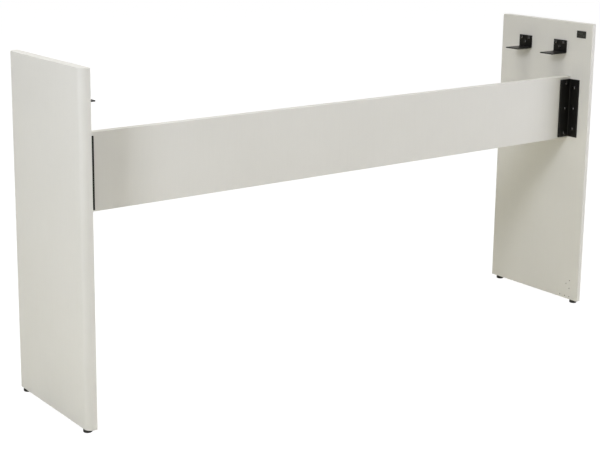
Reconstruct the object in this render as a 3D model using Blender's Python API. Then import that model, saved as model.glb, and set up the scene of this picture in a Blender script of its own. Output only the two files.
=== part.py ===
"""Stand for a slab digital piano: two upright side panels, a back board between them, and steel brackets.

The piano hangs between the panels on four short angle brackets.  Two long angle brackets on the rear
face of the back board tie it to the panels, and each panel stands on two screwed-on plastic glides.

Axes: +X to the player's right, +Y to the rear of the stand, +Z up.  The origin is on the floor, in the
middle of the stand.
"""

import math

import bmesh
import bpy
from mathutils import Matrix, Vector

# --- driving dimensions, in metres ------------------------------------------------------------------
GAP = 0.0003  # clearance kept wherever two pieces touch

CLEAR_WIDTH = 1.330  # between the inner faces of the side panels
PANEL_THICKNESS = 0.020
PANEL_DEPTH = 0.290
PANEL_HEIGHT = 0.682
NOSE_RADIUS = 0.014  # rounding of each panel's outer face into its front and rear edges

FOOT_RADIUS = 0.009
FOOT_HEIGHT = 0.008
FOOT_INSET = 0.020  # from the panel's front or rear edge to the foot's centre
FOOT_EDGE_RADIUS = 0.0015

BOARD_HEIGHT = 0.150
BOARD_THICKNESS = 0.016
BOARD_RISE = 0.403  # from the panel's lower end to the board's lower edge
BOARD_INSET = 0.060  # from the panels' rear edges to the board's rear face

STEEL = 0.0025  # thickness of every bracket
BEND_RADIUS = 0.0015  # inside radius of every bend

ANGLE_HEIGHT = 0.140
ANGLE_BOARD_LEG = 0.035
ANGLE_PANEL_LEG = 0.030
ANGLE_DROP = 0.0015  # the angle's middle is this far below the board's middle
ANGLE_SCREW_LINE = 0.0165  # from the bend to the screws, on either leg
BOARD_SCREW_PITCH = 0.0605
PANEL_SCREW_PITCH = 0.0500

SUPPORT_WIDTH = 0.040
SUPPORT_REACH = 0.050  # horizontal leg, which carries the piano
SUPPORT_HEIGHT = 0.031  # vertical leg, which is screwed to the panel
SUPPORT_RISE = 0.606  # from the panel's lower end to the support's underside
SUPPORT_INSETS = {"front": 0.209, "rear": 0.096}  # from the panel's rear edge to the support's middle
SUPPORT_SCREWS = ((-0.0110, 0.0250), (0.0110, 0.0250), (0.0, 0.0148))  # across, and up from the underside
PIANO_HOLE_RADIUS = 0.0035
PIANO_HOLE_REACH = 0.030  # from the panel to the hole for the piano's own screw

SCREW_RADIUS = 0.0018
SCREW_LENGTH = 0.014
SCREW_HEAD_RADIUS = 0.0038
SCREW_HEAD_HEIGHT = 0.0024
FOOT_SCREW_HEAD_RADIUS = 0.0034
FOOT_SCREW_LENGTH = 0.018
RECESS_REACH = 0.0019  # half the span of the cross recess
RECESS_WIDTH = 0.0008
RECESS_DEPTH = 0.0014

PEDAL_HOLE_RADIUS = 0.0013
PEDAL_HOLE_DEPTH = 0.012
PEDAL_HOLES = (  # from the panel's rear edge, and up from its lower end
    (0.026, 0.048),
    (0.0365, 0.038),
    (0.026, 0.028),
    (0.055, 0.0065),
    (0.039, 0.0065),
    (0.025, 0.0065),
)

PLATE_WIDTH = 0.028
PLATE_HEIGHT = 0.017
PLATE_THICKNESS = 0.0008
PLATE_CORNER_RADIUS = 0.001
PLATE_INSET = 0.0325  # from the panel's rear edge to the plate's middle
PLATE_RISE = 0.6555  # from the panel's lower end to the plate's middle

SCREW_SEGMENTS = 12
HOLE_SEGMENTS = 12
FOOT_SEGMENTS = 24
NOSE_SEGMENTS = 8
BEND_SEGMENTS = 3
SMOOTH_ANGLE = math.radians(35)

# --- places that follow from them -------------------------------------------------------------------
INNER_X = CLEAR_WIDTH / 2
REAR_Y = PANEL_DEPTH / 2
PANEL_Z = FOOT_HEIGHT
BOARD_REAR_Y = REAR_Y - BOARD_INSET
BOARD_Z = PANEL_Z + BOARD_RISE
ANGLE_MIDDLE_Z = BOARD_Z + BOARD_HEIGHT / 2 - ANGLE_DROP
SUPPORT_Z = PANEL_Z + SUPPORT_RISE
SCREW_HOLE_RADIUS = SCREW_RADIUS + GAP
SCREW_HOLE_DEPTH = SCREW_LENGTH - STEEL  # the gaps under the head and the bracket leave the tip clear
SIDES = {"left": -1, "right": 1}


# --- modelling helpers ------------------------------------------------------------------------------
def clear_scene():
    """Removes every object of the scene that the script starts in."""
    for obj in list(bpy.data.objects):
        bpy.data.objects.remove(obj, do_unlink=True)


def make_material(name, colour, roughness, metallic=0.0):
    """A plain Principled BSDF material."""
    material = bpy.data.materials.new(name)
    material.use_nodes = True
    shader = material.node_tree.nodes["Principled BSDF"]
    shader.inputs["Base Color"].default_value = (*colour, 1.0)
    shader.inputs["Roughness"].default_value = roughness
    shader.inputs["Metallic"].default_value = metallic
    return material


def make_mesh(name, bm, smooth=True):
    """A mesh from a bmesh, with its faces pointing out."""
    bmesh.ops.recalc_face_normals(bm, faces=bm.faces)
    mesh = bpy.data.meshes.new(name)
    bm.to_mesh(mesh)
    bm.free()
    if smooth:
        mesh.shade_smooth()
        mesh.set_sharp_from_angle(angle=SMOOTH_ANGLE)
    return mesh


def make_object(name, mesh, material, location=(0, 0, 0), rotation=None):
    """A linked object with one material.  The rotation is a matrix."""
    obj = bpy.data.objects.new(name, mesh)
    if material and not mesh.materials:
        mesh.materials.append(material)
    obj.location = location
    if rotation:
        obj.rotation_euler = rotation.to_euler()
    bpy.context.scene.collection.objects.link(obj)
    return obj


def arc(centre, radius, start_deg, end_deg, segments):
    """Points along a circular arc, both ends included."""
    step = (end_deg - start_deg) / segments
    angles = [math.radians(start_deg + step * i) for i in range(segments + 1)]
    return [(centre[0] + radius * math.cos(a), centre[1] + radius * math.sin(a)) for a in angles]


def prism(outline, origin, across, up, along):
    """A closed outline, drawn from the origin in the plane of across and up, then extruded by along."""
    bm = bmesh.new()
    points = [Vector(origin) + Vector(across) * u + Vector(up) * v for u, v in outline]
    face = bm.faces.new([bm.verts.new(p) for p in points])
    extruded = bmesh.ops.extrude_face_region(bm, geom=[face])
    moved = [v for v in extruded["geom"] if isinstance(v, bmesh.types.BMVert)]
    bmesh.ops.translate(bm, verts=moved, vec=Vector(along))
    return bm


def turned(profile, segments):
    """A solid of revolution about Z.  The profile runs from one axis point to the other as (radius, z)."""
    bm = bmesh.new()
    rings = []
    for radius, z in profile:
        if radius == 0:
            rings.append([bm.verts.new((0, 0, z))])
            continue
        turns = [2 * math.pi * i / segments for i in range(segments)]
        rings.append([bm.verts.new((radius * math.cos(a), radius * math.sin(a), z)) for a in turns])
    for lower, upper in zip(rings, rings[1:]):
        for i in range(segments):
            j = (i + 1) % segments
            corners = [lower[i % len(lower)], lower[j % len(lower)]]
            corners += [upper[j % len(upper)], upper[i % len(upper)]]
            bm.faces.new(list(dict.fromkeys(corners)))
    return bm


def facing(direction):
    """The rotation that turns +Z to this direction."""
    return Vector(direction).to_track_quat("Z", "Y").to_matrix()


def drill(target, holes):
    """Cuts round holes.  Each is (point on the surface, direction into the piece, radius, depth)."""
    bm = bmesh.new()
    for point, inward, radius, depth in holes:
        overrun = 2 * STEEL
        middle = Vector(point) + Vector(inward) * (depth - overrun) / 2
        place = Matrix.Translation(middle) @ facing(inward).to_4x4()
        bmesh.ops.create_cone(
            bm,
            cap_ends=True,
            segments=HOLE_SEGMENTS,
            radius1=radius,
            radius2=radius,
            depth=depth + overrun,
            matrix=place,
        )
    cutter = make_object(target.name + "_holes", make_mesh(target.name + "_holes", bm, smooth=False), None)
    cut_with(target, cutter)


def cut_with(target, cutter):
    """Subtracts a hidden cutter from the target."""
    cutter.hide_render = True
    cutter.display_type = "WIRE"
    modifier = target.modifiers.new("cut", "BOOLEAN")
    modifier.operation = "DIFFERENCE"
    modifier.solver = "EXACT"
    modifier.object = cutter


def angle_outline(first_leg, second_leg):
    """The L-shaped section of a bent steel angle, its outer corner at (0, 0)."""
    outer = STEEL + BEND_RADIUS
    inside_bend = arc((outer, outer), BEND_RADIUS, 270, 180, BEND_SEGMENTS)
    outside_bend = arc((outer, outer), outer, 180, 270, BEND_SEGMENTS)
    ends = [(first_leg, 0), (first_leg, STEEL)]
    return ends + inside_bend + [(STEEL, second_leg), (0, second_leg)] + outside_bend


# --- the wooden pieces ------------------------------------------------------------------------------
def panel_outline():
    """Half of a panel's plan, from its inner face outwards: square inside, rounded outside."""
    nose = PANEL_THICKNESS - NOSE_RADIUS
    front = arc((nose, NOSE_RADIUS - REAR_Y), NOSE_RADIUS, -90, 0, NOSE_SEGMENTS)
    rear = arc((nose, REAR_Y - NOSE_RADIUS), NOSE_RADIUS, 0, 90, NOSE_SEGMENTS)
    return [(0, -REAR_Y)] + front + rear + [(0, REAR_Y)]


def panel_holes(side):
    """Every hole in one panel: for the angle, the supports, the pedal unit's screws and the feet."""
    sign = SIDES[side]
    face_x = sign * INNER_X
    outward = (sign, 0, 0)
    holes = []
    for step in (-1, 0, 1):
        point = (face_x, BOARD_REAR_Y + ANGLE_SCREW_LINE, ANGLE_MIDDLE_Z + step * PANEL_SCREW_PITCH)
        holes.append((point, outward, SCREW_HOLE_RADIUS, SCREW_HOLE_DEPTH))
    for inset in SUPPORT_INSETS.values():
        for across, rise in SUPPORT_SCREWS:
            point = (face_x, REAR_Y - inset + across, SUPPORT_Z + rise)
            holes.append((point, outward, SCREW_HOLE_RADIUS, SCREW_HOLE_DEPTH))
    for inset, rise in PEDAL_HOLES:
        point = (face_x, REAR_Y - inset, PANEL_Z + rise)
        holes.append((point, outward, PEDAL_HOLE_RADIUS, PEDAL_HOLE_DEPTH))
    for x, y in foot_places(side).values():
        holes.append(((x, y, PANEL_Z), (0, 0, 1), SCREW_HOLE_RADIUS, FOOT_SCREW_LENGTH))
    return holes


def foot_places(side):
    """The centres of one panel's feet, by name."""
    x = SIDES[side] * (INNER_X + PANEL_THICKNESS / 2)
    reach = REAR_Y - FOOT_INSET
    return {"front": (x, -reach), "rear": (x, reach)}


def make_panel(side, material):
    sign = SIDES[side]
    bm = prism(
        panel_outline(),
        origin=(sign * INNER_X, 0, PANEL_Z),
        across=(sign, 0, 0),
        up=(0, 1, 0),
        along=(0, 0, PANEL_HEIGHT),
    )
    name = f"{side}_side_panel"
    panel = make_object(name, make_mesh(name, bm), material)
    drill(panel, panel_holes(side))


def make_back_board(material):
    half = INNER_X - GAP
    bm = prism(
        [(0, 0), (2 * half, 0), (2 * half, BOARD_HEIGHT), (0, BOARD_HEIGHT)],
        origin=(-half, BOARD_REAR_Y - BOARD_THICKNESS, BOARD_Z),
        across=(1, 0, 0),
        up=(0, 0, 1),
        along=(0, BOARD_THICKNESS, 0),
    )
    board = make_object("back_board", make_mesh("back_board", bm, smooth=False), material)
    holes = []
    for sign in SIDES.values():
        for step in (-1, 0, 1):
            x = sign * (INNER_X - ANGLE_SCREW_LINE)
            point = (x, BOARD_REAR_Y, ANGLE_MIDDLE_Z + step * BOARD_SCREW_PITCH)
            holes.append((point, (0, -1, 0), SCREW_HOLE_RADIUS, SCREW_HOLE_DEPTH))
    drill(board, holes)


# --- screws -----------------------------------------------------------------------------------------
def screw_mesh(name, head_radius, length):
    """A pan-head wood screw.  The head's underside is at z = 0 and the tip points down."""
    profile = [
        (0, -length),
        (SCREW_RADIUS, -length + 2 * SCREW_RADIUS),
        (SCREW_RADIUS, 0),
        (head_radius, 0),
        (head_radius, SCREW_HEAD_HEIGHT * 0.45),
        (head_radius * 0.78, SCREW_HEAD_HEIGHT * 0.88),
        (0, SCREW_HEAD_HEIGHT),
    ]
    return make_mesh(name, turned(profile, SCREW_SEGMENTS))


def recess_cutter():
    """A cross that narrows downwards, for the drive recess."""
    wide, thin = RECESS_REACH, RECESS_WIDTH / 2
    outline = []
    for quarter in range(4):
        turn = Matrix.Rotation(math.pi / 2 * quarter, 2)
        outline += [turn @ Vector(p) for p in ((wide, -thin), (wide, thin), (thin, thin))]
    bottom = SCREW_HEAD_HEIGHT - RECESS_DEPTH
    bm = prism(outline, (0, 0, bottom), (1, 0, 0), (0, 1, 0), (0, 0, 2 * RECESS_DEPTH))
    for vert in bm.verts:
        if vert.co.z < SCREW_HEAD_HEIGHT:
            reach = max(abs(vert.co.x), abs(vert.co.y))
            narrowing = 0.6 if reach > 2 * thin else 1.0
            vert.co.x *= narrowing
            vert.co.y *= narrowing
    cutter = make_object("recess_cutter", make_mesh("recess_cutter", bm, smooth=False), None)
    cutter.hide_render = True
    cutter.display_type = "WIRE"
    return cutter


def recessed_screw_mesh(name, head_radius, length, cutter):
    """The screw with its recess cut, as one mesh that all its copies share."""
    blank = make_object("screw_blank", screw_mesh(name, head_radius, length), None)
    cut_with(blank, cutter)
    graph = bpy.context.evaluated_depsgraph_get()
    mesh = bpy.data.meshes.new_from_object(blank.evaluated_get(graph))
    bpy.data.objects.remove(blank, do_unlink=True)
    mesh.name = name
    return mesh


def place_screw(name, mesh, material, surface, outward):
    """A screw whose head faces outward, its underside a gap above the surface."""
    location = Vector(surface) + Vector(outward) * GAP
    make_object(name, mesh, material, location, facing(outward))


# --- steel pieces -----------------------------------------------------------------------------------
def make_corner_angle(side, steel, screw, screw_steel):
    """The long angle that ties the board to one panel, with its six screws."""
    sign = SIDES[side]
    corner = (sign * (INNER_X - GAP), BOARD_REAR_Y + GAP, ANGLE_MIDDLE_Z - ANGLE_HEIGHT / 2)
    bm = prism(
        angle_outline(ANGLE_BOARD_LEG - GAP, ANGLE_PANEL_LEG - GAP),
        origin=corner,
        across=(-sign, 0, 0),
        up=(0, 1, 0),
        along=(0, 0, ANGLE_HEIGHT),
    )
    name = f"{side}_corner_angle"
    angle = make_object(name, make_mesh(name, bm), steel)
    board_x = sign * (INNER_X - ANGLE_SCREW_LINE)
    panel_y = BOARD_REAR_Y + ANGLE_SCREW_LINE
    board_surface = BOARD_REAR_Y + GAP + STEEL
    panel_surface = sign * (INNER_X - GAP - STEEL)
    holes = []
    for step, level in ((-1, "lower"), (0, "middle"), (1, "upper")):
        board_z = ANGLE_MIDDLE_Z + step * BOARD_SCREW_PITCH
        panel_z = ANGLE_MIDDLE_Z + step * PANEL_SCREW_PITCH
        on_board = (board_x, board_surface, board_z)
        on_panel = (panel_surface, panel_y, panel_z)
        holes.append((on_board, (0, -1, 0), SCREW_HOLE_RADIUS, 2 * STEEL))
        holes.append((on_panel, (sign, 0, 0), SCREW_HOLE_RADIUS, 2 * STEEL))
        place_screw(f"{side}_board_screw_{level}", screw, screw_steel, on_board, (0, 1, 0))
        place_screw(f"{side}_panel_screw_{level}", screw, screw_steel, on_panel, (-sign, 0, 0))
    drill(angle, holes)


def make_piano_support(side, place, steel, screw, screw_steel):
    """One of the four short angles that carry the piano, with its three screws."""
    sign = SIDES[side]
    middle_y = REAR_Y - SUPPORT_INSETS[place]
    bm = prism(
        angle_outline(SUPPORT_REACH, SUPPORT_HEIGHT),
        origin=(sign * (INNER_X - GAP), middle_y - SUPPORT_WIDTH / 2, SUPPORT_Z),
        across=(-sign, 0, 0),
        up=(0, 0, 1),
        along=(0, SUPPORT_WIDTH, 0),
    )
    name = f"{side}_{place}_piano_support"
    support = make_object(name, make_mesh(name, bm), steel)
    surface_x = sign * (INNER_X - GAP - STEEL)
    piano_hole = (sign * (INNER_X - PIANO_HOLE_REACH), middle_y, SUPPORT_Z + STEEL)
    holes = [(piano_hole, (0, 0, -1), PIANO_HOLE_RADIUS, 2 * STEEL)]
    for number, (across, rise) in enumerate(SUPPORT_SCREWS, start=1):
        point = (surface_x, middle_y + across, SUPPORT_Z + rise)
        holes.append((point, (sign, 0, 0), SCREW_HOLE_RADIUS, 2 * STEEL))
        place_screw(f"{side}_{place}_support_screw_{number}", screw, screw_steel, point, (-sign, 0, 0))
    drill(support, holes)


# --- feet and rating plate --------------------------------------------------------------------------
def foot_mesh():
    """A plastic glide with a counterbored screw hole, open at both ends."""
    top = FOOT_HEIGHT - GAP
    bore = SCREW_HOLE_RADIUS
    counterbore = FOOT_SCREW_HEAD_RADIUS + 2 * GAP
    seat = SCREW_HEAD_HEIGHT + 3 * GAP
    centre = (FOOT_RADIUS - FOOT_EDGE_RADIUS, FOOT_EDGE_RADIUS)
    sole = arc(centre, FOOT_EDGE_RADIUS, -90, 0, 3)
    wall = [(counterbore, 0)] + sole + [(FOOT_RADIUS, top), (bore, top), (bore, seat), (counterbore, seat)]
    bm = bmesh.new()
    for radius, z in wall:
        bm.verts.new((radius, 0, z))
    bm.verts.ensure_lookup_table()
    edges = [bm.edges.new((bm.verts[i], bm.verts[(i + 1) % len(wall)])) for i in range(len(wall))]
    bmesh.ops.spin(
        bm,
        geom=edges,
        cent=(0, 0, 0),
        axis=(0, 0, 1),
        angle=2 * math.pi,
        steps=FOOT_SEGMENTS,
        use_merge=True,
    )
    bmesh.ops.remove_doubles(bm, verts=bm.verts, dist=GAP / 10)
    return make_mesh("foot", bm)


def make_feet(plastic, screw, screw_steel):
    mesh = foot_mesh()
    seat = SCREW_HEAD_HEIGHT + 3 * GAP
    for side in SIDES:
        for place, (x, y) in foot_places(side).items():
            make_object(f"{side}_{place}_foot", mesh, plastic, (x, y, 0))
            place_screw(f"{side}_{place}_foot_screw", screw, screw_steel, (x, y, seat), (0, 0, -1))


def make_rating_plate(plastic):
    """A blank plate near the top rear corner of the left panel's inner face."""
    half_width = PLATE_WIDTH / 2 - PLATE_CORNER_RADIUS
    half_height = PLATE_HEIGHT / 2 - PLATE_CORNER_RADIUS
    outline = []
    corners = ((1, 1), (-1, 1), (-1, -1), (1, -1))
    for quarter, (right, up) in enumerate(corners):
        centre = (right * half_width, up * half_height)
        outline += arc(centre, PLATE_CORNER_RADIUS, 90 * quarter, 90 * quarter + 90, 3)
    bm = prism(
        outline,
        origin=(GAP - INNER_X, REAR_Y - PLATE_INSET, PANEL_Z + PLATE_RISE),
        across=(0, 1, 0),
        up=(0, 0, 1),
        along=(PLATE_THICKNESS, 0, 0),
    )
    make_object("rating_plate", make_mesh("rating_plate", bm, smooth=False), plastic)


def main():
    clear_scene()
    laminate = make_material("white_laminate", (0.72, 0.72, 0.68), 0.45)
    steel = make_material("black_powder_coat", (0.012, 0.012, 0.011), 0.5)
    screw_steel = make_material("black_screw", (0.03, 0.03, 0.03), 0.35, metallic=1.0)
    foot_plastic = make_material("black_plastic", (0.015, 0.015, 0.015), 0.55)
    plate_plastic = make_material("plate_print", (0.02, 0.02, 0.018), 0.4)

    cutter = recess_cutter()
    screw = recessed_screw_mesh("wood_screw", SCREW_HEAD_RADIUS, SCREW_LENGTH, cutter)
    foot_screw = recessed_screw_mesh("foot_screw", FOOT_SCREW_HEAD_RADIUS, FOOT_SCREW_LENGTH, cutter)
    bpy.data.objects.remove(cutter, do_unlink=True)

    make_back_board(laminate)
    for side in SIDES:
        make_panel(side, laminate)
        make_corner_angle(side, steel, screw, screw_steel)
        for place in SUPPORT_INSETS:
            make_piano_support(side, place, steel, screw, screw_steel)
    make_feet(foot_plastic, foot_screw, screw_steel)
    make_rating_plate(plate_plastic)


main()
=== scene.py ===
"""Looks of the digital piano stand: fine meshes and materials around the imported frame.

Axes: +X to the player's right, +Y to the rear of the stand, +Z up, in metres.
"""

import math

import bmesh
import bpy
from mathutils import Matrix, Quaternion, Vector


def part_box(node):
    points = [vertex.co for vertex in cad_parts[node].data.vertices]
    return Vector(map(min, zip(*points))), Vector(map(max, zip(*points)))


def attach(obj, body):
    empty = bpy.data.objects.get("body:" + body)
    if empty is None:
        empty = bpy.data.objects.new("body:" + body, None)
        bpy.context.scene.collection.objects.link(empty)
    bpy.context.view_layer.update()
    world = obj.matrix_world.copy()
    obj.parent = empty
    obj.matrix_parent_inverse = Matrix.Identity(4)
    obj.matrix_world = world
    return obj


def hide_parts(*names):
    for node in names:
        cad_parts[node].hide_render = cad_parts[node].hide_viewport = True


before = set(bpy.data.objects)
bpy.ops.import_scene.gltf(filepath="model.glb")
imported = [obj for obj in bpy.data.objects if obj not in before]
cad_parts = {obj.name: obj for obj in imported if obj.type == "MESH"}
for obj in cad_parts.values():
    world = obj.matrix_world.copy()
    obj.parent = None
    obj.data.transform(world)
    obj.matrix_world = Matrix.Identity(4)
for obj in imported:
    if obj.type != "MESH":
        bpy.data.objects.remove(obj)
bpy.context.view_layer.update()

MM = 0.001
SIDES = {"left": -1, "right": 1}
LEVELS = ("lower", "middle", "upper")

# --- dimensions that the frame's boxes don't give ---------------------------------------------------
GAP = 0.3 * MM  # clearance between touching pieces
STEEL = 2.5 * MM  # thickness of every bracket
NOSE_RADIUS = 14 * MM  # the panels' outer front and rear edges
INNER_EDGE_RADIUS = 0.8 * MM  # the panels' inner front and rear edges
ARRIS = 0.5 * MM  # softened ends of the boards
SEAM_DROP = 1.2 * MM  # from a board's end to the joint between its edge band and its faces
SEAM_WIDTH = 0.16 * MM
SEAM_DEPTH = 0.10 * MM
INNER_BEND = 1.5 * MM  # inside radius of every bend
PUNCHED_EDGE = 0.25 * MM  # softened edges of the brackets

SCREW_RADIUS = 1.8 * MM
SCREW_HOLE_RADIUS = SCREW_RADIUS + GAP
HEAD_HEIGHT = 2.4 * MM
HEAD_EDGE = 0.06 * MM  # softened edges of the heads and their recesses
HEAD_SHOULDER = 0.62  # shares of the head's radius or height: where its side rounds into the crown
HEAD_SIDE = 0.42
HEAD_ROUNDED = 0.86
CROWN_RADIUS = 2.4
THREAD_POINT = 2.4  # length of the point, in shank radii
RECESS_LEVELS = (  # height from the crown, then an arm's reach and half width in head radii
    (-1.5 * MM, 0.18, 0.08),
    (-0.35 * MM, 0.45, 0.11),
    (0.6 * MM, 0.58, 0.13),
)
PIANO_HOLE_RADIUS = 3.5 * MM
PIANO_HOLE_REACH = 30 * MM  # from the panel to the hole for the piano's own screw

PEDAL_HOLE_RADIUS = 1.3 * MM
PEDAL_HOLE_DEPTH = 12 * MM
PEDAL_HOLES = (  # from the panel's rear edge, and up from its lower end
    (26 * MM, 48 * MM),
    (36.5 * MM, 38 * MM),
    (26 * MM, 28 * MM),
    (55 * MM, 6.5 * MM),
    (39 * MM, 6.5 * MM),
    (25 * MM, 6.5 * MM),
)

FOOT_SOLE_RADIUS = 1.6 * MM
FOOT_TOP_RADIUS = 0.4 * MM
FOOT_DRAFT = 0.5 * MM  # how much narrower a glide is at its top
FOOT_MOUTH = 0.3 * MM  # chamfer of the counterbore

PLATE_CORNER = 1.2 * MM
PLATE_EDGE = 0.2 * MM
INK_HEIGHT = 0.04 * MM  # and as much again inside the plate
INK_CORNER = 0.2 * MM
PRINTED_BARS = (  # across and up from the plate's middle, width and height
    (0.0 * MM, 5.2 * MM, 22.0 * MM, 0.5 * MM),
    (-3.0 * MM, 2.6 * MM, 16.0 * MM, 1.6 * MM),
    (3.0 * MM, -0.6 * MM, 16.0 * MM, 1.6 * MM),
    (-4.5 * MM, -4.2 * MM, 13.0 * MM, 1.0 * MM),
    (8.0 * MM, -4.2 * MM, 5.0 * MM, 2.6 * MM),
)

SMOOTH_ANGLE = math.radians(32)
BEVEL_ANGLE = math.radians(40)
GOLDEN = 0.618  # spreads the screws' turns without a pattern


# --- materials --------------------------------------------------------------------------------------
class Shader:
    """A Principled BSDF material, with short calls for the nodes that feed it."""

    def __init__(self, name, **inputs):
        self.material = bpy.data.materials.new(name)
        self.material.use_nodes = True
        self.tree = self.material.node_tree
        self.shader = self.tree.nodes["Principled BSDF"]
        for key, value in inputs.items():
            self.shader.inputs[key.replace("_", " ")].default_value = value
        self.coordinates = self.tree.nodes.new("ShaderNodeTexCoord").outputs["Object"]

    def node(self, kind, settings=None, **inputs):
        made = self.tree.nodes.new(kind)
        for key, value in (settings or {}).items():
            setattr(made, key, value)
        for key, value in inputs.items():
            socket = made.inputs[key.replace("_", " ")]
            if isinstance(value, bpy.types.NodeSocket):
                self.tree.links.new(value, socket)
            else:
                socket.default_value = value
        return made

    def stretched(self, scale):
        """The object's own coordinates, scaled along each axis."""
        return self.node("ShaderNodeMapping", Vector=self.coordinates, Scale=scale).outputs["Vector"]

    def noise(self, scale, detail=2.0, roughness=0.5, stretch=(1, 1, 1)):
        """Noise with this many waves per metre."""
        settings = {"Scale": scale, "Detail": detail, "Roughness": roughness}
        return self.node("ShaderNodeTexNoise", Vector=self.stretched(stretch), **settings).outputs["Fac"]

    def span(self, value, low, high, start=0.0, end=1.0):
        """The value moved from the range start..end to low..high, and clamped there."""
        made = self.node("ShaderNodeMapRange", Value=value)
        made.inputs["From Min"].default_value = start
        made.inputs["From Max"].default_value = end
        made.inputs["To Min"].default_value = low
        made.inputs["To Max"].default_value = high
        return made.outputs["Result"]

    def blend(self, factor, first, second):
        """A colour between two, which are colours or sockets."""
        made = self.tree.nodes.new("ShaderNodeMix")
        made.data_type = "RGBA"
        for index, value in ((0, factor), (6, first), (7, second)):
            socket = made.inputs[index]
            if isinstance(value, bpy.types.NodeSocket):
                self.tree.links.new(value, socket)
            else:
                socket.default_value = value if isinstance(value, float) else (*value, 1.0)
        return made.outputs[2]

    def feed(self, name, socket):
        self.tree.links.new(socket, self.shader.inputs[name])

    def bump(self, *layers):
        """Bumps of (height socket, depth in metres), one over another."""
        normal = None
        for height, depth in layers:
            made = self.node("ShaderNodeBump", Height=height, Distance=depth, Strength=1.0)
            if normal:
                self.tree.links.new(normal, made.inputs["Normal"])
            normal = made.outputs["Normal"]
        self.feed("Normal", normal)


def laminate_material():
    """Satin off-white laminate: a faint upright pore print, and the foil's fine orange peel."""
    s = Shader("satin_white_laminate", IOR=1.46)
    clouds = s.span(s.noise(5, detail=3), 0.0, 1.0, 0.3, 0.7)
    pores = s.span(s.noise(420, detail=3, roughness=0.6, stretch=(1, 1, 0.035)), 0.0, 1.0, 0.35, 0.75)
    tone = s.blend(clouds, (0.768, 0.756, 0.712), (0.792, 0.780, 0.738))
    s.feed("Base Color", s.blend(s.span(pores, 0.0, 0.10), tone, (0.68, 0.655, 0.60)))
    s.feed("Roughness", s.span(s.noise(60, detail=4), 0.38, 0.50, 0.3, 0.7))
    s.bump((s.noise(900, detail=1), 0.012 * MM), (pores, 0.015 * MM), (s.noise(140), 0.02 * MM))
    return s.material


def core_material():
    """Raw particle board: pressed chips of many browns."""
    s = Shader("raw_particle_board", Roughness=0.85)
    chips = s.node("ShaderNodeTexVoronoi", Vector=s.stretched((1, 0.45, 1)), Scale=520.0)
    shade = s.node("ShaderNodeSeparateColor", Color=chips.outputs["Color"]).outputs["Red"]
    dust = s.span(s.noise(1800, detail=4), 0.0, 0.5, 0.35, 0.7)
    wood = s.blend(shade, (0.33, 0.215, 0.115), (0.56, 0.42, 0.265))
    s.feed("Base Color", s.blend(dust, wood, (0.22, 0.145, 0.08)))
    s.bump((shade, 0.12 * MM), (dust, 0.10 * MM))
    return s.material


def hole_shade_material():
    """Particle board inside a drilled hole, painted near black as painted shade for the shadow deep in
    the hole.
    """
    s = Shader("painted_hole_shade", Roughness=0.9)
    dust = s.span(s.noise(1500, detail=4), 0.0, 1.0, 0.3, 0.7)
    # painted shade: both tones are near black and stand in for the shadow inside the hole; the noise
    # only varies the tone
    s.feed("Base Color", s.blend(dust, (0.060, 0.040, 0.022), (0.105, 0.072, 0.042)))
    s.bump((dust, 0.08 * MM))
    return s.material


def powder_coat_material():
    """Satin black powder coat with its fine grain."""
    s = Shader("black_powder_coat", IOR=1.5, Specular_IOR_Level=0.38)
    grain = s.noise(1500, detail=2, roughness=0.6)
    specks = s.span(s.noise(3800, detail=1), 0.0, 1.0, 0.55, 0.8)
    s.feed("Base Color", s.blend(specks, (0.0050, 0.0047, 0.0040), (0.014, 0.0135, 0.012)))
    s.feed("Roughness", s.span(s.noise(240, detail=3), 0.30, 0.42, 0.3, 0.7))
    s.bump((grain, 0.02 * MM), (s.noise(350), 0.015 * MM))
    return s.material


def black_oxide_material():
    """Blackened screw steel, polished by the driver where its edges stand out."""
    s = Shader("black_oxide_steel", Metallic=1.0)
    edges = s.node("ShaderNodeNewGeometry").outputs["Pointiness"]
    worn = s.span(edges, 0.0, 1.0, 0.53, 0.60)
    mottle = s.span(s.noise(900, detail=3), 0.0, 1.0, 0.3, 0.7)
    oxide = s.blend(mottle, (0.10, 0.10, 0.104), (0.17, 0.168, 0.164))
    s.feed("Base Color", s.blend(worn, oxide, (0.62, 0.61, 0.59)))
    s.feed("Roughness", s.span(s.noise(1400, detail=3), 0.16, 0.30, 0.3, 0.7))
    s.bump((s.noise(2600), 0.008 * MM))
    return s.material


def zinc_material():
    """Bright zinc plate with a cloudy passivation."""
    s = Shader("zinc_plate", Metallic=1.0)
    clouds = s.span(s.noise(500, detail=3), 0.0, 1.0, 0.3, 0.7)
    s.feed("Base Color", s.blend(clouds, (0.56, 0.56, 0.53), (0.70, 0.69, 0.64)))
    s.feed("Roughness", s.span(s.noise(1600, detail=3), 0.22, 0.38, 0.3, 0.7))
    s.bump((s.noise(2200), 0.008 * MM))
    return s.material


def glide_material():
    """Moulded black polyethylene: waxy and finely eroded, scuffed on the sole."""
    s = Shader("moulded_black_plastic", IOR=1.5)
    height = s.node("ShaderNodeSeparateXYZ", Vector=s.coordinates).outputs["Z"]
    sole = s.span(height, 1.0, 0.0, 0.0, 0.6 * MM)
    scratches = s.span(s.noise(700, detail=4, stretch=(1, 0.2, 1)), 0.0, 1.0, 0.45, 0.7)
    scuffs = s.node("ShaderNodeMath", {"operation": "MULTIPLY"})
    s.tree.links.new(sole, scuffs.inputs[0])
    s.tree.links.new(scratches, scuffs.inputs[1])
    s.feed("Base Color", s.blend(scuffs.outputs[0], (0.014, 0.014, 0.014), (0.075, 0.072, 0.068)))
    s.feed("Roughness", s.span(s.noise(500, detail=3), 0.42, 0.58, 0.3, 0.7))
    s.bump((s.noise(2400, detail=2), 0.02 * MM))
    return s.material


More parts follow.
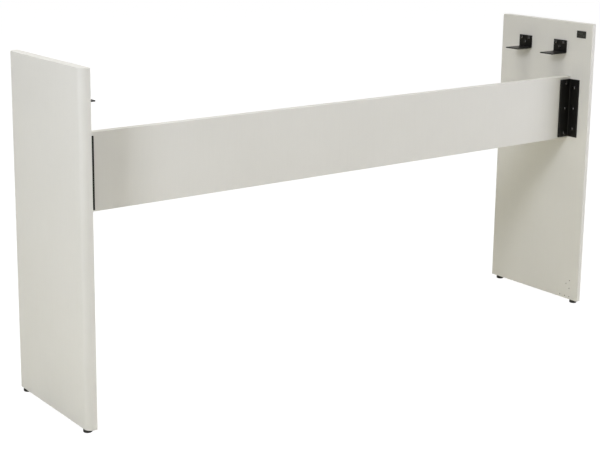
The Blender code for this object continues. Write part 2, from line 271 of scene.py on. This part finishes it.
def plate_material():
    """Black printing film."""
    s = Shader("black_plate_film", IOR=1.5)
    s.feed("Base Color", s.blend(s.noise(300), (0.012, 0.012, 0.010), (0.020, 0.020, 0.017)))
    s.feed("Roughness", s.span(s.noise(700, detail=3), 0.30, 0.42, 0.3, 0.7))
    s.bump((s.noise(1800), 0.006 * MM))
    return s.material


def print_material():
    """Grey ink on the film."""
    s = Shader("grey_plate_ink")
    s.feed("Base Color", s.blend(s.noise(900), (0.050, 0.050, 0.044), (0.075, 0.075, 0.066)))
    s.feed("Roughness", s.span(s.noise(1200, detail=2), 0.45, 0.6, 0.3, 0.7))
    return s.material


# --- mesh helpers -----------------------------------------------------------------------------------
def arc(centre, radius, start_deg, end_deg, segments):
    """Points along a circular arc, both ends included."""
    step = (end_deg - start_deg) / segments
    angles = [math.radians(start_deg + step * i) for i in range(segments + 1)]
    middle_x, middle_y = centre
    return [Vector((middle_x + radius * math.cos(a), middle_y + radius * math.sin(a))) for a in angles]


def skin(rings, capped=True):
    """A bmesh of closed rings of points, joined in turn, with a flat face over each end."""
    bm = bmesh.new()
    loops = [[bm.verts.new(p) for p in ring] for ring in rings]
    for lower, upper in zip(loops, loops[1:]):
        for i in range(len(lower)):
            j = (i + 1) % len(lower)
            bm.faces.new((lower[i], lower[j], upper[j], upper[i]))
    if capped:
        bm.faces.new(list(reversed(loops[0])))
        bm.faces.new(loops[-1])
    bmesh.ops.recalc_face_normals(bm, faces=bm.faces)
    return bm


def turned(profile, segments):
    """A solid of revolution about Z.  The profile's points are (radius, z), from axis to axis."""
    bm = bmesh.new()
    rings = []
    for radius, z in profile:
        turns = [2 * math.pi * i / segments for i in range(segments if radius else 1)]
        rings.append([bm.verts.new((radius * math.cos(a), radius * math.sin(a), z)) for a in turns])
    for lower, upper in zip(rings, rings[1:]):
        for i in range(segments):
            j = (i + 1) % segments
            corners = [lower[i % len(lower)], lower[j % len(lower)]]
            corners += [upper[j % len(upper)], upper[i % len(upper)]]
            bm.faces.new(list(dict.fromkeys(corners)))
    bmesh.ops.recalc_face_normals(bm, faces=bm.faces)
    return bm


def mesh_object(name, bm, materials):
    mesh = bpy.data.meshes.new(name)
    bm.to_mesh(mesh)
    bm.free()
    for material in materials:
        mesh.materials.append(material)
    obj = bpy.data.objects.new(name, mesh)
    bpy.context.scene.collection.objects.link(obj)
    return obj


def facing(direction):
    """The rotation that turns +Z to this direction."""
    return Vector(direction).to_track_quat("Z", "Y").to_matrix().to_4x4()


def drill_bits(holes, material, segments=32):
    """One cutter for many holes, each (point on the surface, direction inwards, radius, depth)."""
    bm = bmesh.new()
    overrun = 3 * MM
    for point, inward, radius, depth in holes:
        middle = Vector(point) + Vector(inward) * (depth - overrun) / 2
        place = Matrix.Translation(middle) @ facing(inward)
        size = {"radius1": radius, "radius2": radius, "depth": depth + overrun}
        bmesh.ops.create_cone(bm, cap_ends=True, segments=segments, matrix=place, **size)
    return mesh_object("holes", bm, [material])


def settle(obj, cutter=None, edge=0.0, edge_segments=2):
    """Cuts, softens the sharp edges, shades smooth and keeps the result as the object's own mesh."""
    if cutter:
        cut = obj.modifiers.new("cut", "BOOLEAN")
        cut.operation = "DIFFERENCE"
        cut.solver = "EXACT"
        cut.material_mode = "TRANSFER"
        cut.object = cutter
    if edge:
        bevel = obj.modifiers.new("edges", "BEVEL")
        bevel.width = edge
        bevel.segments = edge_segments
        bevel.limit_method = "ANGLE"
        bevel.angle_limit = BEVEL_ANGLE
    graph = bpy.context.evaluated_depsgraph_get()
    mesh = bpy.data.meshes.new_from_object(obj.evaluated_get(graph))
    obj.modifiers.clear()
    obj.data = mesh
    mesh.name = obj.name
    mesh.shade_smooth()
    mesh.set_sharp_from_angle(angle=SMOOTH_ANGLE)
    normals = obj.modifiers.new("normals", "WEIGHTED_NORMAL")
    normals.keep_sharp = True
    if cutter:
        bpy.data.objects.remove(cutter, do_unlink=True)
    return obj


def stand_for(obj, node):
    """The piece rides with the stand, in place of one CAD node."""
    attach(obj, "root")
    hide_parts(node)


def middle(node):
    low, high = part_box(node)
    return (low + high) / 2


# --- boards -----------------------------------------------------------------------------------------
def seam_levels(low, high):
    """(height, inset) of each ring up a board: softened ends, and a groove beside each edge band."""
    levels = [(0.0, ARRIS), (0.15 * ARRIS, 0.62 * ARRIS), (0.45 * ARRIS, 0.25 * ARRIS), (ARRIS, 0.0)]
    levels.append((SEAM_DROP, 0.0))
    levels.append((SEAM_DROP + SEAM_WIDTH / 2, SEAM_DEPTH))
    levels.append((SEAM_DROP + SEAM_WIDTH, 0.0))
    upper = [(high - rise, inset) for rise, inset in reversed(levels)]
    return [(low + rise, inset) for rise, inset in levels] + upper


def panel_outline(side, inset):
    """A panel's plan: a crisp inner face, and an outer one that rounds into the edges."""
    low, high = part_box(f"{side}_side_panel")
    depth_half = (high.y - low.y) / 2
    thickness = high.x - low.x
    inner = INNER_EDGE_RADIUS
    nose_x = thickness - NOSE_RADIUS
    nose_y = depth_half - NOSE_RADIUS
    points = arc((inner, inner - depth_half), inner - inset, 180, 270, 4)
    points += arc((nose_x, -nose_y), NOSE_RADIUS - inset, -90, 0, 24)
    points += arc((nose_x, nose_y), NOSE_RADIUS - inset, 0, 90, 24)
    points += arc((inner, depth_half - inner), inner - inset, 90, 180, 4)
    sign = SIDES[side]
    inner_x = high.x if sign < 0 else low.x
    return [(inner_x + sign * p.x, p.y) for p in points]


def panel_holes(side):
    """The screws' holes and the open pilot holes in one panel."""
    low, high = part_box(f"{side}_side_panel")
    sign = SIDES[side]
    inner_x = high.x if sign < 0 else low.x
    holes = []
    for inset, rise in PEDAL_HOLES:
        point = (inner_x, high.y - inset, low.z + rise)
        holes.append((point, (sign, 0, 0), PEDAL_HOLE_RADIUS, PEDAL_HOLE_DEPTH))
    screws = [f"{side}_panel_screw_{level}" for level in LEVELS]
    screws += [f"{side}_{place}_support_screw_{n}" for place in ("front", "rear") for n in (1, 2, 3)]
    for screw in screws:
        tip_low, tip_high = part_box(screw)
        depth = max(abs(tip_low.x), abs(tip_high.x)) - abs(inner_x) + GAP
        place = middle(screw)
        holes.append(((inner_x, place.y, place.z), (sign, 0, 0), SCREW_HOLE_RADIUS, depth))
    for place in ("front", "rear"):
        _, screw_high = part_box(f"{side}_{place}_foot_screw")
        point = middle(f"{side}_{place}_foot_screw")
        depth = screw_high.z - low.z + GAP
        holes.append(((point.x, point.y, low.z), (0, 0, 1), SCREW_HOLE_RADIUS, depth))
    return holes


def make_panel(side, laminate, core, hole_shade):
    node = f"{side}_side_panel"
    low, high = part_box(node)
    rings = []
    for z, inset in seam_levels(low.z, high.z):
        rings.append([(x, y, z) for x, y in panel_outline(side, inset)])
    bm = skin(rings)
    for face in bm.faces:
        if face.calc_center_median().z < low.z + 0.1 * ARRIS:
            face.material_index = 1
    panel = mesh_object(f"{node}_finished", bm, [laminate, core])
    # the holes' walls take the near-black painted hole shade
    settle(panel, drill_bits(panel_holes(side), hole_shade))
    stand_for(panel, node)


def make_board(laminate, core):
    """The back board: edge bands above and below, raw ends hidden against the panels."""
    low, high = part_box("back_board")
    rings = []
    for z, inset in seam_levels(low.z, high.z):
        front, rear = low.y + inset, high.y - inset
        left, right = low.x + min(inset, ARRIS), high.x - min(inset, ARRIS)
        rings.append([(left, front, z), (right, front, z), (right, rear, z), (left, rear, z)])
    bm = skin(rings)
    for face in bm.faces:
        if abs(face.normal.x) > 0.9:
            face.material_index = 1
    board = mesh_object("back_board_finished", bm, [laminate, core])
    holes = []
    for side in SIDES:
        for level in LEVELS:
            node = f"{side}_board_screw_{level}"
            screw_low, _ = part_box(node)
            point = middle(node)
            depth = high.y - screw_low.y + GAP
            holes.append(((point.x, high.y, point.z), (0, -1, 0), SCREW_HOLE_RADIUS, depth))
    settle(board, drill_bits(holes, core))
    stand_for(board, "back_board")


# --- steel ------------------------------------------------------------------------------------------
def angle_section(first_leg, second_leg):
    """The L section of bent strip, its outer corner at (0, 0), its first leg along the first axis."""
    outer = STEEL + INNER_BEND
    ends = [Vector((first_leg, 0)), Vector((first_leg, STEEL))]
    inside = arc((outer, outer), INNER_BEND, 270, 180, 5)
    outside = arc((outer, outer), outer, 180, 270, 10)
    return ends + inside + [Vector((STEEL, second_leg)), Vector((0, second_leg))] + outside


def make_corner_angle(side, steel):
    node = f"{side}_corner_angle"
    low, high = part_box(node)
    sign = SIDES[side]
    corner_x = high.x if sign > 0 else low.x
    section = angle_section(high.x - low.x, high.y - low.y)
    rings = [[(corner_x - sign * p.x, low.y + p.y, z) for p in section] for z in (low.z, high.z)]
    angle = mesh_object(f"{node}_finished", skin(rings), [steel])
    holes = []
    for level in LEVELS:
        on_board = middle(f"{side}_board_screw_{level}")
        on_panel = middle(f"{side}_panel_screw_{level}")
        board_point = (on_board.x, low.y + STEEL, on_board.z)
        panel_point = (corner_x - sign * STEEL, on_panel.y, on_panel.z)
        holes.append((board_point, (0, -1, 0), SCREW_HOLE_RADIUS, 2 * STEEL))
        holes.append((panel_point, (sign, 0, 0), SCREW_HOLE_RADIUS, 2 * STEEL))
    settle(angle, drill_bits(holes, steel), PUNCHED_EDGE)
    stand_for(angle, node)


def make_support(side, place, steel):
    """A short angle: the leg on the panel stands up, and the leg under the piano lies level."""
    node = f"{side}_{place}_piano_support"
    low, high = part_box(node)
    sign = SIDES[side]
    corner_x = high.x if sign > 0 else low.x
    section = angle_section(high.x - low.x, high.z - low.z)
    rings = [[(corner_x - sign * p.x, y, low.z + p.y) for p in section] for y in (low.y, high.y)]
    support = mesh_object(f"{node}_finished", skin(rings), [steel])
    piano_x = corner_x - sign * (PIANO_HOLE_REACH - GAP)
    top = low.z + STEEL
    holes = [((piano_x, (low.y + high.y) / 2, top), (0, 0, -1), PIANO_HOLE_RADIUS, 2 * STEEL)]
    for number in (1, 2, 3):
        screw = middle(f"{side}_{place}_support_screw_{number}")
        point = (corner_x - sign * STEEL, screw.y, screw.z)
        holes.append((point, (sign, 0, 0), SCREW_HOLE_RADIUS, 2 * STEEL))
    settle(support, drill_bits(holes, steel), PUNCHED_EDGE)
    stand_for(support, node)


# --- screws -----------------------------------------------------------------------------------------
def pan_head_profile(head_radius, length):
    """Half of a screw's section, from its tip to its crown.  The head's underside is at z = 0."""
    shoulder = HEAD_SHOULDER * head_radius
    side_top = HEAD_SIDE * HEAD_HEIGHT
    crown_radius = CROWN_RADIUS * head_radius
    lip = 0.15 * MM
    profile = [(0, -length), (0.25 * SCREW_RADIUS, -length + 0.3 * MM)]
    profile.append((SCREW_RADIUS, -length + THREAD_POINT * SCREW_RADIUS))
    profile += [(SCREW_RADIUS, -0.2 * MM), (1.15 * SCREW_RADIUS, 0)]
    profile += [(head_radius - lip, 0), (head_radius, lip), (head_radius, side_top)]
    for i in range(1, 7):
        turn = math.radians(15 * i) * 0.85
        radius = shoulder + (head_radius - shoulder) * math.cos(turn)
        profile.append((radius, side_top + (HEAD_HEIGHT * HEAD_ROUNDED - side_top) * math.sin(turn)))
    base_radius, base_height = profile[-1]
    sag = crown_radius - math.sqrt(crown_radius**2 - base_radius**2)
    for share in (0.75, 0.5, 0.25, 0.0):
        radius = base_radius * share
        drop = crown_radius - math.sqrt(crown_radius**2 - radius**2)
        profile.append((radius, base_height + (sag - drop)))
    return profile, base_height + sag


def cross_cutter(head_radius, top):
    """A four-armed point for the drive recess: wide and open at the top, narrow at the bottom."""
    rings = []
    for z, reach, half in RECESS_LEVELS:
        tip, waist = reach * head_radius, half * head_radius
        ring = []
        for quarter in range(4):
            turn = Matrix.Rotation(math.pi / 2 * quarter, 2)
            corners = ((tip, -0.6 * waist), (tip, 0.6 * waist), (waist, waist))
            ring += [turn @ Vector(corner) for corner in corners]
        rings.append([(p.x, p.y, top + z) for p in ring])
    return skin(rings)


def screw_mesh(name, head_radius, length, material):
    """A pan-head screw with its cross recess, as a mesh that all its copies share."""
    profile, top = pan_head_profile(head_radius, length)
    screw = mesh_object(name, turned(profile, 48), [material])
    cutter = mesh_object("cross", cross_cutter(head_radius, top), [material])
    settle(screw, cutter, HEAD_EDGE)
    mesh = screw.data
    bpy.data.objects.remove(screw, do_unlink=True)
    return mesh


def make_screw(node, mesh, outward, quarters):
    """A screw in its CAD node's place, with its recess left at a turn of this many quarters."""
    low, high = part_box(node)
    centre = (low + high) / 2
    outward = Vector(outward)
    tip_reach = (high - low).dot(Vector(abs(v) for v in outward)) / 2 - HEAD_HEIGHT
    underside = centre + outward * tip_reach
    screw = bpy.data.objects.new(f"{node}_finished", mesh)
    bpy.context.scene.collection.objects.link(screw)
    turn = Matrix.Rotation(quarters * math.pi / 2, 4, "Z")
    screw.matrix_world = Matrix.Translation(underside) @ facing(outward) @ turn
    normals = screw.modifiers.new("normals", "WEIGHTED_NORMAL")
    normals.keep_sharp = True
    stand_for(screw, node)


def make_screws(black, zinc):
    low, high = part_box("left_board_screw_lower")
    wood = screw_mesh("wood_screw", (high.x - low.x) / 2, high.y - low.y - HEAD_HEIGHT, black)
    low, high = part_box("left_front_foot_screw")
    foot = screw_mesh("foot_screw", (high.x - low.x) / 2, high.z - low.z - HEAD_HEIGHT, zinc)
    count = 0
    for side, sign in SIDES.items():
        todo = [(f"{side}_board_screw_{level}", wood, (0, 1, 0), "black_screw") for level in LEVELS]
        todo += [(f"{side}_panel_screw_{level}", wood, (-sign, 0, 0), "black_screw") for level in LEVELS]
        for place in ("front", "rear"):
            for number in (1, 2, 3):
                node = f"{side}_{place}_support_screw_{number}"
                todo.append((node, wood, (-sign, 0, 0), "black_screw"))
            todo.append((f"{side}_{place}_foot_screw", foot, (0, 0, -1), "foot_screw"))
        for node, mesh, outward, slot in todo:
            make_screw(node, mesh, outward, (count * GOLDEN) % 1)
            count += 1


# --- feet and plate ---------------------------------------------------------------------------------
def make_feet(plastic):
    """Round glides with a soft sole edge, a little draft and a counterbore for the screw's head."""
    for side in SIDES:
        for place in ("front", "rear"):
            node = f"{side}_{place}_foot"
            low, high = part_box(node)
            screw_low, screw_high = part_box(f"{node}_screw")
            radius, height = (high.x - low.x) / 2, high.z - low.z
            head = (screw_high.x - screw_low.x) / 2 + 2 * GAP
            seat = screw_low.z + HEAD_HEIGHT + GAP
            sole_centre = (radius - FOOT_SOLE_RADIUS, FOOT_SOLE_RADIUS)
            top_centre = (radius - FOOT_DRAFT - FOOT_TOP_RADIUS, height - FOOT_TOP_RADIUS)
            wall = [(head + FOOT_MOUTH, 0.0)]
            wall += [tuple(p) for p in arc(sole_centre, FOOT_SOLE_RADIUS, -90, 0, 8)]
            wall += [tuple(p) for p in arc(top_centre, FOOT_TOP_RADIUS, 0, 90, 3)]
            wall += [(SCREW_HOLE_RADIUS, height), (SCREW_HOLE_RADIUS, seat)]
            wall += [(head, seat), (head, FOOT_MOUTH)]
            wall.append(wall[0])
            spokes = [2 * math.pi * i / 64 for i in range(64)]
            rings = [[(r * math.cos(a), r * math.sin(a), z) for a in spokes] for r, z in wall]
            bm = skin(rings, capped=False)
            bmesh.ops.remove_doubles(bm, verts=bm.verts, dist=0.001 * MM)
            bmesh.ops.recalc_face_normals(bm, faces=bm.faces)
            foot = mesh_object(f"{node}_finished", bm, [plastic])
            foot.location = ((low.x + high.x) / 2, (low.y + high.y) / 2, low.z)
            settle(foot)
            stand_for(foot, node)


def rounded_rectangle(width, height, radius):
    points = []
    for quarter, (right, up) in enumerate(((1, 1), (-1, 1), (-1, -1), (1, -1))):
        centre = (right * (width / 2 - radius), up * (height / 2 - radius))
        points += arc(centre, radius, 90 * quarter, 90 * quarter + 90, 6)
    return points


def make_rating_plate(film, ink):
    """A film plate with softened edges, and blank printed bars in place of its lettering."""
    low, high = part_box("rating_plate")
    centre = (low + high) / 2
    width, height = high.y - low.y, high.z - low.z
    outer = rounded_rectangle(width, height, PLATE_CORNER)
    inner = rounded_rectangle(width - 2 * PLATE_EDGE, height - 2 * PLATE_EDGE, PLATE_CORNER - PLATE_EDGE)
    rings = []
    for x, outline in ((low.x, outer), (high.x - PLATE_EDGE, outer), (high.x, inner)):
        rings.append([(x, centre.y + p.x, centre.z + p.y) for p in outline])
    plate = mesh_object("rating_plate_finished", skin(rings), [film])
    settle(plate)
    stand_for(plate, "rating_plate")

    printed = bmesh.new()
    for across, up, bar_width, bar_height in PRINTED_BARS:
        outline = rounded_rectangle(bar_width, bar_height, INK_CORNER)
        rings = []
        for x in (high.x - INK_HEIGHT, high.x + INK_HEIGHT):
            rings.append([(x, centre.y + across + p.x, centre.z + up + p.y) for p in outline])
        bar = skin(rings)
        mesh = bpy.data.meshes.new("bar")
        bar.to_mesh(mesh)
        bar.free()
        printed.from_mesh(mesh)
        bpy.data.meshes.remove(mesh)
    bars_piece = mesh_object("rating_plate_print", printed, [ink])
    settle(bars_piece)
    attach(bars_piece, "root")


# --- stage, light and camera ------------------------------------------------------------------------
FLOOR_SIZE = 60.0
FLOOR_PAINT = (0.80, 0.77, 0.62, 1.0)  # what the stand is lit by from below
FLOOR_GLOW = 0.985
SURROUND = 0.01  # light from the studio's walls
BACKDROP = 0.6  # light from the backdrop
BACKDROP_DIRECTION = (-0.606, -0.790, 0.087)
BACKDROP_EDGE, BACKDROP_MIDDLE = 0.35, 0.85  # cosines where its light starts and is full
CAMERA_PLACE = (1.7923, 2.2274, 1.0293)
CAMERA_HEADING = 37.455  # degrees from -Y towards -X
CAMERA_PITCH = 12.318  # degrees below the horizon
CAMERA_ROLL = 0.758
CAMERA_LENS = 80.32
CAMERA_SHIFT = -0.10


def make_camera():
    data = bpy.data.cameras.new("camera")
    data.sensor_width = 36
    data.lens = CAMERA_LENS
    data.shift_y = CAMERA_SHIFT
    camera = bpy.data.objects.new("camera", data)
    bpy.context.scene.collection.objects.link(camera)
    heading, pitch = math.radians(CAMERA_HEADING), math.radians(CAMERA_PITCH)
    level = math.cos(pitch)
    aim = Vector((-math.sin(heading) * level, -math.cos(heading) * level, -math.sin(pitch)))
    camera.location = CAMERA_PLACE
    camera.rotation_mode = "QUATERNION"
    roll = Quaternion((0, 0, 1), math.radians(CAMERA_ROLL))
    camera.rotation_quaternion = aim.to_track_quat("-Z", "Y") @ roll
    bpy.context.scene.camera = camera


def make_softbox(name, heading, height, distance, size, power, colour, target=(0, 0, 0.35)):
    """A rectangular light, in watts.  Its heading is in degrees from +Y, the rear, towards +X."""
    data = bpy.data.lights.new(name, "AREA")
    data.shape = "RECTANGLE"
    data.size, data.size_y = size
    data.energy = power
    data.color = colour
    light = bpy.data.objects.new(name, data)
    bpy.context.scene.collection.objects.link(light)
    turn, rise = math.radians(heading), math.radians(height)
    away = Vector((math.sin(turn) * math.cos(rise), math.cos(turn) * math.cos(rise), math.sin(rise)))
    light.location = Vector(target) + away * distance
    light.rotation_mode = "QUATERNION"
    light.rotation_quaternion = (-away).to_track_quat("-Z", "Y")


def make_world():
    """A dim studio with a bright backdrop on its far side.  The camera sees plain white all round."""
    world = bpy.data.worlds.new("studio")
    bpy.context.scene.world = world
    world.use_nodes = True
    tree = world.node_tree
    tree.nodes.clear()
    direction = tree.nodes.new("ShaderNodeTexCoord").outputs["Generated"]
    towards = tree.nodes.new("ShaderNodeVectorMath")
    towards.operation = "DOT_PRODUCT"
    towards.inputs[1].default_value = BACKDROP_DIRECTION
    tree.links.new(direction, towards.inputs[0])
    ramp = tree.nodes.new("ShaderNodeMapRange")
    ramp.interpolation_type = "SMOOTHSTEP"
    levels = {"From Min": BACKDROP_EDGE, "From Max": BACKDROP_MIDDLE}
    levels.update({"To Min": SURROUND, "To Max": BACKDROP})
    for name, value in levels.items():
        ramp.inputs[name].default_value = value
    tree.links.new(towards.outputs["Value"], ramp.inputs["Value"])
    lit = tree.nodes.new("ShaderNodeBackground")
    lit.inputs["Color"].default_value = (1.0, 0.98, 0.94, 1.0)
    tree.links.new(ramp.outputs["Result"], lit.inputs["Strength"])
    seen = tree.nodes.new("ShaderNodeBackground")
    seen.inputs["Strength"].default_value = 1.0
    rays = tree.nodes.new("ShaderNodeLightPath")
    mix = tree.nodes.new("ShaderNodeMixShader")
    out = tree.nodes.new("ShaderNodeOutputWorld")
    tree.links.new(rays.outputs["Is Camera Ray"], mix.inputs[0])
    tree.links.new(lit.outputs[0], mix.inputs[1])
    tree.links.new(seen.outputs[0], mix.inputs[2])
    tree.links.new(mix.outputs[0], out.inputs[0])


def make_floor():
    """A pale studio floor.  It looks white to the camera, and only deep shadow shows on it."""
    bm = bmesh.new()
    bmesh.ops.create_grid(bm, x_segments=1, y_segments=1, size=FLOOR_SIZE / 2)
    material = bpy.data.materials.new("studio_floor")
    material.use_nodes = True
    tree = material.node_tree
    tree.nodes.clear()
    paint = tree.nodes.new("ShaderNodeBsdfDiffuse")
    paint.inputs["Color"].default_value = FLOOR_PAINT
    dim = tree.nodes.new("ShaderNodeBsdfDiffuse")
    dim.inputs["Color"].default_value = (0.1, 0.1, 0.1, 1.0)
    glow = tree.nodes.new("ShaderNodeEmission")
    glow.inputs["Strength"].default_value = FLOOR_GLOW
    lifted = tree.nodes.new("ShaderNodeAddShader")
    rays = tree.nodes.new("ShaderNodeLightPath")
    mix = tree.nodes.new("ShaderNodeMixShader")
    out = tree.nodes.new("ShaderNodeOutputMaterial")
    tree.links.new(dim.outputs[0], lifted.inputs[0])
    tree.links.new(glow.outputs[0], lifted.inputs[1])
    tree.links.new(rays.outputs["Is Camera Ray"], mix.inputs[0])
    tree.links.new(paint.outputs[0], mix.inputs[1])
    tree.links.new(lifted.outputs[0], mix.inputs[2])
    tree.links.new(mix.outputs[0], out.inputs[0])
    floor = mesh_object("floor", bm, [material])


def make_lights():
    cool = (0.98, 1.0, 1.07)
    near, key, side = (0.6, 0.05, 0.4), (0.5, 0.1, 0.35), (0.7, 0, 0.35)
    make_softbox("near_strip", 64.5, 28, 1.75, (0.36, 1.3), 9.6, (0.96, 1.0, 1.13), near)
    make_softbox("key_softbox", 65.5, 34, 4.3, (0.9, 1.1), 48, cool, key)
    make_softbox("side_softbox", 110, 14, 4.0, (2.0, 2.0), 11, cool, side)
    make_softbox("rear_softbox", -52, 17, 5.0, (3.0, 2.2), 131, (0.98, 1.0, 1.13))
    make_softbox("front_softbox", 180, 30, 5.0, (3.0, 3.0), 36, (1.0, 1.0, 1.0))
    make_softbox("ceiling_softbox", 30, 85, 4.0, (2.5, 2.5), 82, (1.0, 0.98, 0.90))


def make_stage():
    bpy.context.scene.view_settings.view_transform = "Standard"
    make_camera()
    make_world()
    make_floor()
    make_lights()


def make_stand():
    # the third material is painted shade for the inside of the panels' drilled holes
    laminate, core, hole_shade = laminate_material(), core_material(), hole_shade_material()
    steel = powder_coat_material()
    for side in SIDES:
        make_panel(side, laminate, core, hole_shade)
        make_corner_angle(side, steel)
        for place in ("front", "rear"):
            make_support(side, place, steel)
    make_board(laminate, core)
    make_screws(black_oxide_material(), zinc_material())
    make_feet(glide_material())
    make_rating_plate(plate_material(), print_material())


make_stage()
make_stand()
